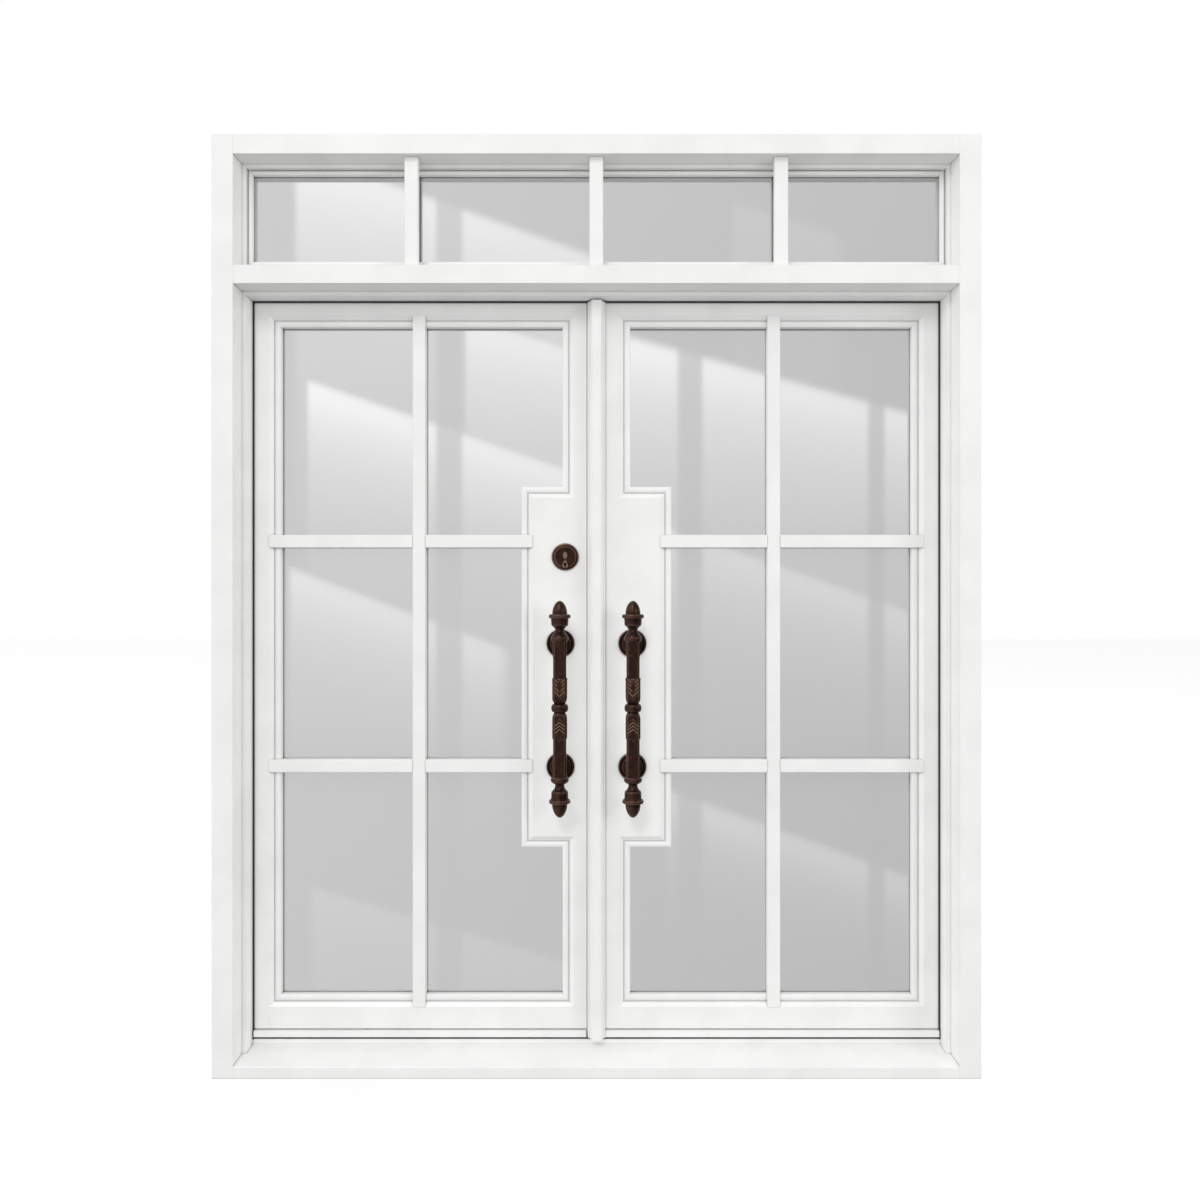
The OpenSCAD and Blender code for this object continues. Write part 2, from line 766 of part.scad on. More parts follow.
module strike_plate() {
    color(bronze) difference() {
        mid_block(-right_meet, -right_meet + plate_t, forend_w, bolt_z - strike_half, bolt_z + strike_half);
        bolt_space(-right_meet - cut, -right_meet + plate_t + cut);
    }
}

// ---- Flush bolts, drawn at the top; the lower one is set out from the leaf's foot ----

// Places the children at the top or the foot of the right leaf's meeting edge
module at_end(top) {
    translate([0, 0, top ? leaf_z1 : leaf_z0]) mirror([0, 0, top ? 0 : 1]) children();
}

module face_plate_block(x0) {
    mid_block(x0, -right_meet + plate_t, face_plate_w, -face_plate_l - face_plate_end, -face_plate_end);
}

module flush_plate() {
    difference() {
        face_plate_block(-right_meet);
        mid_block(-right_meet - cut, -right_meet + plate_t + cut, slot_w, -rod_l - 5, -rod_l - 5 + rod_slot);
    }
}

module flush_bolt_plates() { color(bronze) for (top = [true, false]) at_end(top) flush_plate(); }

module flush_rod() {
    translate([rod_x, mid_y, -rod_l]) cylinder(r = rod_r, h = rod_l - 0.5);
    mid_block(-right_meet + 0.5, rod_x, slot_w - 2, -rod_l, -rod_l + rod_catch);
}

module flush_bolt_top() { color(steel) at_end(true) flush_rod(); }
module flush_bolt_bottom() { color(steel) at_end(false) flush_rod(); }

module right_meeting_stile() {
    color(white) difference() {
        mirror([1, 0, 0]) meeting_stile(right_meet);
        mid_block(-right_meet - cut, -right_meet + plate_t, forend_w, bolt_z - strike_half,
            bolt_z + strike_half);
        bolt_space(-right_meet, -4);
        for (top = [true, false]) at_end(top) {
            face_plate_block(-right_meet - cut);
            mid_block(-right_meet, rod_x + rod_r + 1, 2 * rod_r + 2, -rod_l - 6, -rod_l + 40);
            translate([rod_x, mid_y, -rod_l]) cylinder(r = rod_r + rod_play, h = rod_l + cut);
        }
    }
}

module astragal() {
    color(white) along_z([for (p = astragal_section) [p[0], y(p[1])]], leaf_z0 + 4,
        transom_z - stop_reach - seal_show - 1);
}

// ---- Pulls, drawn outside the left leaf ----

module pull_bar() {
    translate([0, 0, -shaft_half]) rotate([0, 0, 22.5]) cylinder(r = shaft_r, h = 2 * shaft_half, $fn = 8);
    translate([0, 0, -grip_half]) cylinder(r = grip_r, h = 2 * grip_half);
    translate([0, 0, bead_h]) rotate_extrude() polygon(middle_bead);
    rotate_extrude() polygon(turned_end);
    mirror([0, 0, 1]) rotate_extrude() polygon(turned_end);
}

module pull() {
    color(bronze) translate([-pull_x, y(leaf_front) - pull_out, pull_z]) {
        pull_bar();
        for (z = [upper_rose_z, lower_rose_z])
            translate([0, 0, z - pull_z]) rotate([-90, 0, 0]) cylinder(r = leg_r, h = pull_out);
    }
}

module pull_roses() {
    for (z = [upper_rose_z, lower_rose_z])
        translate([-pull_x, y(leaf_front), z]) rotate([90, 0, 0]) rotate_extrude() polygon(rose_plate);
}

// The same thing on the inside face, mirrored through the middle of the leaf's thickness
module inside() { translate([0, 2 * mid_y, 0]) mirror([0, 1, 0]) children(); }

module left_outer_pull() { pull(); }
module left_inner_pull() { inside() pull(); }
module left_pull_roses() { color(bronze) { pull_roses(); inside() pull_roses(); } }
module right_outer_pull() { mirror([1, 0, 0]) pull(); }
module right_inner_pull() { mirror([1, 0, 0]) inside() pull(); }
module right_pull_roses() { mirror([1, 0, 0]) left_pull_roses(); }

// ---- The two leaves' own joinery ----

module left_hinge_stile() { hinge_stile(); }
module left_top_rail() { top_rail(); }
module left_bottom_rail() { bottom_rail(); }
module left_pane() { pane(); }
module left_drip_bar() { drip_bar(drip_x0, -left_meet - 1); }
module left_upright_bar() { upright_bar(); }
module left_upper_bar() { level_bar(upper_bar_z); }
module left_lower_bar() { level_bar(lower_bar_z); }
module left_inner_bars() { inner_bars(); }
module left_beads() { beads(); }
module right_hinge_stile() { mirror([1, 0, 0]) hinge_stile(); }
module right_top_rail() { mirror([1, 0, 0]) top_rail(); }
module right_bottom_rail() { mirror([1, 0, 0]) bottom_rail(); }
module right_pane() { mirror([1, 0, 0]) pane(); }
module right_drip_bar() { drip_bar(astragal_section[len(astragal_section) - 1][0] + 0.2, -drip_x0); }
module right_upright_bar() { mirror([1, 0, 0]) upright_bar(); }
module right_upper_bar() { mirror([1, 0, 0]) level_bar(upper_bar_z); }
module right_lower_bar() { mirror([1, 0, 0]) level_bar(lower_bar_z); }
module right_inner_bars() { mirror([1, 0, 0]) inner_bars(); }
module right_beads() { mirror([1, 0, 0]) beads(); }

sill();
jamb_left();
jamb_right();
head();
transom_bar();
light_bar_1();
light_bar_2();
light_bar_3();
transom_pane_1();
transom_pane_2();
transom_pane_3();
transom_pane_4();
transom_beads();
weather_seal();
frame_hinge_halves();
frame_hinge_screws();
bolt_keeps();
left_hinge_stile();
left_lock_stile();
left_top_rail();
left_bottom_rail();
left_pane();
left_drip_bar();
left_upright_bar();
left_upper_bar();
left_lower_bar();
left_inner_bars();
left_beads();
left_hinge_halves();
left_hinge_screws();
left_outer_pull();
left_inner_pull();
left_pull_roses();
escutcheon();
turn_rose();
lock_case();
thumb_turn();
deadbolt();
right_hinge_stile();
right_meeting_stile();
right_top_rail();
right_bottom_rail();
right_pane();
right_drip_bar();
right_upright_bar();
right_upper_bar();
right_lower_bar();
right_inner_bars();
right_beads();
right_hinge_halves();
right_hinge_screws();
right_outer_pull();
right_inner_pull();
right_pull_roses();
astragal();
strike_plate();
flush_bolt_plates();
meeting_seal();
flush_bolt_top();
flush_bolt_bottom();
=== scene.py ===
# %% [markdown]
# # French doors, seen from outside
#
# A pair of painted timber leaves in their own frame, under a four-light transom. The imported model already
# holds every piece at its real size, so this file only adds what the eye needs: paint, glass, rubber and
# patinated bronze, and the turned and carved ironmongery that is too fine for the construction model.
# Everything is in metres: +X right, +Y into the house, +Z up.

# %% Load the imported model
import json

import bpy
import numpy as np
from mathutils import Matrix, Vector


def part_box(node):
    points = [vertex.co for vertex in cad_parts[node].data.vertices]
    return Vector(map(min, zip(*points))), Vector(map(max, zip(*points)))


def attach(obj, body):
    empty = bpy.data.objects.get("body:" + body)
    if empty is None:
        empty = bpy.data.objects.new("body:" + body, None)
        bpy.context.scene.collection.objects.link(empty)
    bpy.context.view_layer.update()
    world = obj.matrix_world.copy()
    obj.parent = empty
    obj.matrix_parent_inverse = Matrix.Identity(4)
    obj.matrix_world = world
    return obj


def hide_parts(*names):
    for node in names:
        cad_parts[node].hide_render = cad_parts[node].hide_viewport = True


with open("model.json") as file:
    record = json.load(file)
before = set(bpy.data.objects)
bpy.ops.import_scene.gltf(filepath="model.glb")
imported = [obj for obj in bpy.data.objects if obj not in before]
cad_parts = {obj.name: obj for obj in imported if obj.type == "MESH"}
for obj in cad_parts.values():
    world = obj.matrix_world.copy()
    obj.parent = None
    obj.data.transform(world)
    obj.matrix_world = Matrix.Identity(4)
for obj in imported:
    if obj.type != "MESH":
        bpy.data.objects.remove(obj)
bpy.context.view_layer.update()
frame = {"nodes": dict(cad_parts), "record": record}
nodes = frame["nodes"]
print(len(nodes), "pieces in the packed model")

# %% [markdown]
# ## A helper for colours and one for nodes
#
# Colours are written as the sRGB hex values that a paint chart would show. Blender's shaders work in linear
# light, so one function turns them. Another adds a shader node, sets its inputs and links it in one line, which
# keeps every material short enough to read.


# %% Colour and node helpers
def linear(hex_colour):
    """Each channel c in 0..1 becomes ((c + 0.055) / 1.055) ** 2.4, the sRGB curve, or c / 12.92 near black."""
    c = np.array([int(hex_colour[i : i + 2], 16) for i in (1, 3, 5)]) / 255
    return (*np.where(c <= 0.04045, c / 12.92, ((c + 0.055) / 1.055) ** 2.4), 1.0)


def add(tree, kind, settings=None, **inputs):
    """Adds a node. settings are its own properties; each input is a value, or a socket to link from."""
    node = tree.nodes.new(kind)
    for name, value in (settings or {}).items():
        setattr(node, name, value)
    for name, value in inputs.items():
        key = int(name[1:]) if name[0] == "_" and name[1:].isdigit() else name.replace("_", " ")
        if isinstance(value, bpy.types.NodeSocket):
            tree.links.new(value, node.inputs[key])
        else:
            node.inputs[key].default_value = value
    return node


def new_material(name):
    """An empty node material: returns it, its tree and its Principled shader, already linked to the output."""
    material = bpy.data.materials.new(name)
    material.use_nodes = True
    tree = material.node_tree
    return material, tree, tree.nodes["Principled BSDF"]


# Mixes two colours: input 0 is the factor, 6 the colour at 0, 7 the colour at 1, and output 2 the result.
COLOUR_MIX = ("ShaderNodeMix", {"data_type": "RGBA"})
print("white paint in linear light:", [round(c, 3) for c in linear("#F2F2F0")[:3]])

# %% [markdown]
# ## The camera
#
# The doors are seen square on, from 2.7 m in front of the frame, at half their height. A wide lens at that
# distance gives the strong perspective inside the reveals: the stops and the leaves look smaller than the frame
# in front of them. The lens is worked out from how wide the picture is at the frame's face.

# %% Camera
CAMERA_AT = Vector((0.0098, -2.776, 1.269))
FRAME_FACE_Y = -0.076
PICTURE_WIDTH = 3.18
SENSOR = 36.0
camera_data = bpy.data.cameras.new("camera")
camera_data.sensor_width = SENSOR
camera_data.lens = SENSOR * (FRAME_FACE_Y - CAMERA_AT.y) / PICTURE_WIDTH
camera = bpy.data.objects.new("camera", camera_data)
camera.location = CAMERA_AT
camera.rotation_euler = (np.pi / 2, 0, 0)
bpy.context.scene.collection.objects.link(camera)
bpy.context.scene.camera = camera
print("lens", round(camera_data.lens, 2), "mm")

# %% [markdown]
# ## Painted timber
#
# The joinery is softwood under satin white paint, laid off with a brush along the grain. Up close the brush
# leaves fine streaks in the length of each member and the film is a little uneven. The streaks are noise
# stretched along the member, so uprights and cross members get the same material with a different stretch
# direction. Real bristle marks are about 0.4 mm wide, too fine to show from here, so they are drawn some 2 mm
# wide. Narrow corners, found by ambient occlusion, are painted a little greyer: this is painted shade.

# %% Painted timber
BRUSH_MARK = 0.002
BRUSH_LENGTH = 0.35
EASED_EDGE = 0.0012
QUIRK = 0.006
JOINT_LINE = 0.0006


def painted_timber(name, grain, joint=None):
    """White satin paint on timber. grain is the member's axis; joint is where its ends meet the next member.

    The film's height is noise sampled at (x, y, z) / mark width, with the grain axis divided by the stroke
    length instead, so the noise stretches along the grain. The quirks are found by ambient occlusion within
    6 mm. joint is an absolute X value: where |x| is within half a hairline of it, the paint is darker."""
    material, tree, shader = new_material(name)
    place = add(tree, "ShaderNodeTexCoord").outputs["Object"]
    stretch = [1 / BRUSH_MARK] * 3
    stretch["xyz".index(grain)] = 1 / BRUSH_LENGTH
    strokes_at = add(tree, "ShaderNodeMapping", Vector=place, Scale=stretch).outputs["Vector"]
    strokes = add(tree, "ShaderNodeTexNoise", Vector=strokes_at, Scale=1.0, Detail=3.0).outputs["Fac"]
    film = add(tree, "ShaderNodeTexNoise", Vector=place, Scale=9.0, Detail=2.0).outputs["Fac"]
    tone = add(tree, "ShaderNodeValToRGB", Fac=film)
    tone.color_ramp.elements[0].position = 0.35
    tone.color_ramp.elements[0].color = linear("#EFEFEE")
    tone.color_ramp.elements[1].position = 0.65
    tone.color_ramp.elements[1].color = linear("#F4F4F3")
    # Painted shade: narrow corners found by ambient occlusion are mixed towards grey.
    open_air = add(tree, "ShaderNodeAmbientOcclusion", {"samples": 8}, Distance=QUIRK).outputs["AO"]
    out_of_painted_shade = add(tree, "ShaderNodeMapRange", Value=open_air, From_Min=0.35, From_Max=0.85).outputs["Result"]
    colour = add(tree, *COLOUR_MIX, _0=out_of_painted_shade, _6=linear("#B9B7B4"), _7=tone.outputs["Color"]).outputs[2]
    if joint:
        x = add(tree, "ShaderNodeSeparateXYZ", Vector=place).outputs["X"]
        across = add(tree, "ShaderNodeMath", {"operation": "ABSOLUTE"}, _0=x).outputs[0]
        line = add(tree, "ShaderNodeMath", {"operation": "COMPARE"}, _0=across, _1=joint, _2=JOINT_LINE)
        colour = add(tree, *COLOUR_MIX, _0=line.outputs[0], _6=colour, _7=linear("#DEDDDB")).outputs[2]
    tree.links.new(colour, shader.inputs["Base Color"])
    sheen = add(tree, "ShaderNodeMapRange", Value=strokes, To_Min=0.30, To_Max=0.42).outputs["Result"]
    tree.links.new(sheen, shader.inputs["Roughness"])
    shader.inputs["IOR"].default_value = 1.5
    edges = add(tree, "ShaderNodeBevel", {"samples": 4}, Radius=EASED_EDGE).outputs["Normal"]
    relief = add(tree, "ShaderNodeBump", Height=strokes, Normal=edges, Strength=0.05, Distance=0.0004)
    tree.links.new(relief.outputs["Normal"], shader.inputs["Normal"])
    return material


FRAME_JOINT = 0.9635
paint_upright = painted_timber("satin_paint_brushed_upright", "z")
paint_level = painted_timber("satin_paint_brushed_level", "x")
paint_frame_level = painted_timber("satin_paint_brushed_frame_level", "x", joint=FRAME_JOINT)
print("paint made for uprights and cross members")

# %% [markdown]
# ## Laminated glass
#
# Two sheets of float glass with a clear film between them. It is clear but a little grey, so what is behind it
# is toned down, and it mirrors the studio's lights softly. A faint, long waviness, the roller wave of toughened
# float, bends the reflections by a hair. Light on its way to a surface behind the glass goes straight through,
# because a Mix Shader puts in a Transparent shader for those rays: without it the beads inside would be black.

# %% Glass
ROLLER_WAVE = 0.30


def float_glass(name, tint):
    """Grey clear glass: Principled transmission of 1, index 1.5, with a bump of noise one roller wave wide."""
    material, tree, shader = new_material(name)
    place = add(tree, "ShaderNodeTexCoord").outputs["Object"]
    wave = add(tree, "ShaderNodeTexNoise", Vector=place, Scale=1 / ROLLER_WAVE, Detail=1.0).outputs["Fac"]
    relief = add(tree, "ShaderNodeBump", Height=wave, Strength=0.2, Distance=0.0006)
    tree.links.new(relief.outputs["Normal"], shader.inputs["Normal"])
    shader.inputs["Base Color"].default_value = linear(tint)
    shader.inputs["Roughness"].default_value = 0.03
    shader.inputs["IOR"].default_value = 1.52
    shader.inputs["Transmission Weight"].default_value = 1.0
    ray = add(tree, "ShaderNodeLightPath")
    lighting = add(
        tree,
        "ShaderNodeMath",
        {"operation": "MAXIMUM"},
        _0=ray.outputs["Is Shadow Ray"],
        _1=ray.outputs["Is Diffuse Ray"],
    )
    clear = add(tree, "ShaderNodeBsdfTransparent", Color=linear("#E6E6E6"))
    let_through = add(
        tree, "ShaderNodeMixShader", _0=lighting.outputs[0], _1=shader.outputs[0], _2=clear.outputs[0]
    )
    tree.links.new(let_through.outputs[0], tree.nodes["Material Output"].inputs["Surface"])
    return material


glass = float_glass("laminated_float_glass", "#D3D3D3")
print("glass made")

# %% [markdown]
# ## Black rubber
#
# The weather seal is an extruded rubber strip: dull, nearly black, with a slight bloom.

# %% Rubber
rubber, rubber_tree, rubber_shader = new_material("extruded_black_rubber")
rubber_place = add(rubber_tree, "ShaderNodeTexCoord").outputs["Object"]
bloom = add(rubber_tree, "ShaderNodeTexNoise", Vector=rubber_place, Scale=60.0, Detail=4.0).outputs["Fac"]
rubber_tone = add(rubber_tree, "ShaderNodeValToRGB", Fac=bloom)
rubber_tone.color_ramp.elements[0].color = linear("#1F1D1C")
rubber_tone.color_ramp.elements[1].color = linear("#34312E")
rubber_tree.links.new(rubber_tone.outputs["Color"], rubber_shader.inputs["Base Color"])
rubber_shader.inputs["Roughness"].default_value = 0.62
print("rubber made")

# %% [markdown]
# ## Patinated bronze
#
# The pulls, roses and escutcheon are sand-cast bronze under a dark brown chemical patina. Hands rub the patina
# thin on raised edges, where a warmer brown shows. "Pointiness", which says how convex the surface is, picks
# those edges out. The carving's own attribute does the same for its veins, and blackens its grooves. In
# hollows, found by ambient occlusion, the patina is nearly black. The cast skin is slightly pitted, at about
# 1 mm. The pulls' roses get a darker copy: painted shade for the pulls' shadow on them, and less wear, as
# no hand rubs them.

# %% Bronze
CAST_GRAIN = 0.0011
HOLLOW = 0.02


def patinated_bronze(name, dark="#2A1812", warm="#40271C", worn="#927260", deep="#090403"):
    """Dark patina: two browns mixed by broad noise, worn where convex or veined, deep in hollows."""
    material, tree, shader = new_material(name)
    place = add(tree, "ShaderNodeTexCoord").outputs["Object"]
    cloud = add(tree, "ShaderNodeTexNoise", Vector=place, Scale=55.0, Detail=5.0).outputs["Fac"]
    tone = add(tree, "ShaderNodeValToRGB", Fac=cloud)
    tone.color_ramp.elements[0].position = 0.38
    tone.color_ramp.elements[0].color = linear(dark)
    tone.color_ramp.elements[1].position = 0.68
    tone.color_ramp.elements[1].color = linear(warm)
    convex = add(tree, "ShaderNodeNewGeometry").outputs["Pointiness"]
    rubbed = add(tree, "ShaderNodeMapRange", Value=convex, From_Min=0.505, From_Max=0.56).outputs["Result"]
    open_air = add(tree, "ShaderNodeAmbientOcclusion", {"samples": 8}, Distance=HOLLOW).outputs["AO"]
    raised = add(tree, "ShaderNodeMapRange", Value=open_air, From_Min=0.25, From_Max=0.85).outputs["Result"]
    carving = add(tree, "ShaderNodeAttribute", {"attribute_name": "carving"}).outputs["Fac"]
    vein = add(tree, "ShaderNodeMapRange", Value=carving, To_Max=0.9).outputs["Result"]
    groove = add(tree, "ShaderNodeMapRange", Value=carving, From_Min=-1.0, From_Max=0.0).outputs["Result"]
    colour = add(tree, *COLOUR_MIX, _0=rubbed, _6=tone.outputs["Color"], _7=linear(worn)).outputs[2]
    colour = add(tree, *COLOUR_MIX, _0=vein, _6=colour, _7=linear(worn)).outputs[2]
    colour = add(tree, *COLOUR_MIX, _0=raised, _6=linear(deep), _7=colour).outputs[2]
    colour = add(tree, *COLOUR_MIX, _0=groove, _6=linear(deep), _7=colour).outputs[2]
    tree.links.new(colour, shader.inputs["Base Color"])
    shader.inputs["Metallic"].default_value = 0.75
    skin = add(tree, "ShaderNodeTexNoise", Vector=place, Scale=1 / CAST_GRAIN, Detail=3.0).outputs["Fac"]
    rough = add(tree, "ShaderNodeMapRange", Value=cloud, To_Min=0.30, To_Max=0.46).outputs["Result"]
    tree.links.new(rough, shader.inputs["Roughness"])
    relief = add(tree, "ShaderNodeBump", Height=skin, Strength=0.25, Distance=0.0003)
    tree.links.new(relief.outputs["Normal"], shader.inputs["Normal"])
    return material


bronze = patinated_bronze("patinated_cast_bronze")
# Painted shade: a darker copy of the bronze for the roses, standing in for the pulls' shadow, with less wear.
roses_bronze_painted_shade = patinated_bronze("patinated_bronze_painted_shade", dark="#1C120E", warm="#34221A", worn="#6E4E3C")
print("two bronzes made")

# %% [markdown]
# ## Two steels and a pile strip
#
# The deadbolt and flush bolts are zinc-plated steel with a fine drawn grain. The lock case is the same steel,
# blacked in oil; its near-black also serves as painted shade for what is seen through the keyhole.
# Between the meeting stiles runs a strip of off-white woven pile, matt and slightly mottled.

# %% Steels and pile


def drawn_steel(name, tint, roughest):
    """Steel with a drawn grain: noise 0.4 mm wide and 25 mm long drives the roughness up to roughest."""
    material, tree, shader = new_material(name)
    place = add(tree, "ShaderNodeTexCoord").outputs["Object"]
    drawn_at = add(tree, "ShaderNodeMapping", Vector=place, Scale=(2500, 2500, 40)).outputs["Vector"]
    drawn = add(tree, "ShaderNodeTexNoise", Vector=drawn_at, Scale=1.0, Detail=2.0).outputs["Fac"]
    rough = add(tree, "ShaderNodeMapRange", Value=drawn, To_Min=0.25, To_Max=roughest).outputs["Result"]
    tree.links.new(rough, shader.inputs["Roughness"])
    shader.inputs["Base Color"].default_value = linear(tint)
    shader.inputs["Metallic"].default_value = 1.0
    return material


steel = drawn_steel("zinc_plated_steel_drawn", "#B9B8B4", 0.45)
# Painted shade: the lock case's near-black steel darkens what shows through the keyhole.
blacked_steel_keyhole_shade = drawn_steel("blacked_steel_drawn_keyhole_shade", "#1D1B1A", 0.60)
pile, pile_tree, pile_shader = new_material("off_white_woven_pile")
pile_place = add(pile_tree, "ShaderNodeTexCoord").outputs["Object"]
tufts = add(pile_tree, "ShaderNodeTexNoise", Vector=pile_place, Scale=1800.0, Detail=2.0).outputs["Fac"]
pile_tone = add(pile_tree, *COLOUR_MIX, _0=tufts, _6=linear("#D9D8D5"), _7=linear("#EDECEA"))
pile_tree.links.new(pile_tone.outputs[2], pile_shader.inputs["Base Color"])
pile_shader.inputs["Roughness"].default_value = 0.95
print("steels and pile made")

# %% [markdown]
# ## Put the finishes on
#
# The record names a material slot for each piece. Painted pieces are split further by the way their grain runs.

# %% Assign materials
LEVEL_WORDS = ("rail", "upper_bar", "lower_bar", "drip_bar")
FRAME_LEVEL = ("sill", "head", "transom_bar")
FINISHES = {
    "laminated_glass": glass,
    "dark_bronze": bronze,
    "steel": steel,
    "black_rubber": rubber,
    "pale_pile": pile,
}
slot_of = {part["node"]: part["material_slot"] for part in frame["record"]["subparts"]}


def finish_of(name):
    """By name for the lock case and the frame's cross members, by a word in it for the leaves', or by slot."""
    if name == "lock_case":
        return blacked_steel_keyhole_shade
    if name in FRAME_LEVEL:
        return paint_frame_level
    if any(word in name for word in LEVEL_WORDS):
        return paint_level
    return FINISHES.get(slot_of[name], paint_upright)


for name, node in nodes.items():
    node.data.materials.clear()
    node.data.materials.append(finish_of(name))
print("finished", len(nodes), "pieces")

# %% [markdown]
# ## Surfaces from numbers
#
# The ironmongery is made from formulas. A shape is a stack of rings of points: each ring is joined to the next
# by quads, and the two ends close on a pole. Numpy works out all points at once. The faces are listed so that
# they point outwards when the rings turn anticlockwise about the direction in which they are stacked.


# %% Mesh helpers
def skin(rings):
    """Rings (n, m, 3) to points and faces: point j of ring i joins j + 1 and ring i + 1; poles are means."""
    n, m, _ = rings.shape
    points = np.vstack([rings.reshape(-1, 3), rings[:1].mean(1), rings[-1:].mean(1)])
    i, j = np.meshgrid(np.arange(n - 1), np.arange(m), indexing="ij")
    here, beside = i * m + j, i * m + (j + 1) % m
    quads = np.stack([here, beside, beside + m, here + m], -1).reshape(-1, 4)
    j = np.arange(m)
    k = (j + 1) % m
    first = np.stack([k, j, np.full(m, n * m)], -1)
    last = np.stack([(n - 1) * m + j, (n - 1) * m + k, np.full(m, n * m + 1)], -1)
    return points, quads.tolist() + first.tolist() + last.tolist()


def rounded(profile, passes=2):
    """Cuts each corner of a polyline at a quarter of its sides (Chaikin), which softens it as casting does."""
    line = np.asarray(profile, float)
    for _ in range(passes):
        near, far = line[:-1] * 0.75 + line[1:] * 0.25, line[:-1] * 0.25 + line[1:] * 0.75
        line = np.vstack([line[:1], np.stack([near, far], 1).reshape(-1, 2), line[-1:]])
    return line


def turned(profile, centre, axis, sides=64):
    """A lathe shape: a point (radius, height) is at centre + radius (cos a, sin a) + height along the axis."""
    along = np.asarray(axis, float)
    across = np.cross(along, (0, 0, 1) if abs(along[2]) < 0.5 else (0, 1, 0))
    third = np.cross(along, across)
    angle = np.linspace(0, 2 * np.pi, sides, endpoint=False)
    circle = np.cos(angle)[:, None] * across + np.sin(angle)[:, None] * third
    radius, height = np.asarray(profile, float).T
    return skin(np.asarray(centre) + radius[:, None, None] * circle + height[:, None, None] * along)


def piece(name, parts, material, body, replaces, sharp=0.6):
    """One object from several shapes, each points, faces and, if it is carved, a tone for each point.

    The tone goes into the carving attribute: 1 on a vein, -1 in a groove, and 0 where nothing is carved."""
    points, faces, carving, start = [], [], [], 0
    for part_points, part_faces, *part_carving in parts:
        points.append(part_points)
        carving.append(part_carving[0] if part_carving else np.zeros(len(part_points)))
        faces += [[i + start for i in face] for face in part_faces]
        start += len(part_points)
    mesh = bpy.data.meshes.new(name)
    mesh.from_pydata(np.vstack(points).tolist(), [], faces)
    mesh.attributes.new("carving", "FLOAT", "POINT").data.foreach_set("value", np.concatenate(carving))
    mesh.shade_smooth()
    mesh.set_sharp_from_angle(angle=sharp)
    mesh.materials.append(material)
    made = bpy.data.objects.new(name, mesh)
    bpy.context.scene.collection.objects.link(made)
    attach(made, body)
    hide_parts(*replaces)
    print(name, len(faces), "faces")
    return made


# %% [markdown]
# ## The pull handles
#
# Each pull is one bronze casting, 583 mm long: a carved grip with a bead at its middle, a square shaft with its
# corners cut off, and at each end a bead, a bell, a cup with a thick rim and an acorn. It is built as rings
# from its foot to its tip. A ring has a half-width and a "squareness", 0 for a circle and 1 for the cut square,
# so the round ends flow into the square shaft without a seam. The two ends were finished by hand and differ.

# %% Pull profile
# Half-widths and lengths in millimetres, and heights in millimetres from the pull's middle.
MM = 0.001
CORNER_CUT = 0.25
GRIP = 19.5
SHAFT = 17.3
BLOCK = 18.4
BLOCK_FOOT = -121.5
BLOCK_HEAD = 143
NECK = 15
BEAD_AT = 3.5
BEAD_HALF = 11.4
BEAD_FOOT, BEAD_RISE = 14.6, 8.4
BEAD_POWER = 2.3
SWELL_LENGTH = 17
GRIP_FOOT = -78.3
GRIP_HEAD = 83.7


def acorn(base_r, base_h, tip_h, power):
    """Radius base_r (1 - t^2)^power, where t runs from 0 at the base to 1 at the tip as a sine."""
    t = np.sin(np.linspace(0, np.pi / 2, 16)[:-1])
    return np.stack([base_r * (1 - t**2) ** power, base_h + (tip_h - base_h) * t], 1)


def rim(centre_r, centre_h, half_r, half_h):
    """The thick lip of a cup: half a superellipse, centre + (half_r cos^0.6, half_h sin^0.8), keeping signs."""
    a = np.radians(np.linspace(-84, 84, 13))
    high = centre_h + half_h * np.sign(a) * np.abs(np.sin(a)) ** 0.8
    return np.stack([centre_r + half_r * np.cos(a) ** 0.6, high], 1)


# Each turning as (radius, height): the block, a bead, the neck, the bell and the cup's wall.
TOP_TURNING = [(BLOCK, 178), (BLOCK, 182), (22, 184), (24, 188), (24, 193), (21.5, 198), (18, 203)]
TOP_TURNING += [(13.5, 208), (11.6, 213), (13.4, 217), (16.6, 221.4), (22, 225.2), (22.9, 228)]
TOP_TURNING += [(23.2, 236), (24, 244)]
FOOT_TURNING = [(BLOCK, 178), (BLOCK, 181), (22, 182.5), (24.2, 186), (24.4, 191), (23, 195), (19, 198.4)]
FOOT_TURNING += [(13.6, 200.6), (12.2, 203.4), (12.6, 208), (14, 211.5), (16, 215.5), (20.5, 219)]
FOOT_TURNING += [(22.4, 221.5), (22.7, 228), (23, 239)]
top_end = np.vstack([rounded(TOP_TURNING), rim(24.4, 250, 5.2, 5.6), acorn(20.2, 256, 292, 0.55)])
foot_end = np.vstack([rounded(FOOT_TURNING), rim(24.0, 247.6, 4.9, 5.2), acorn(20.8, 253, 291.5, 0.56)])


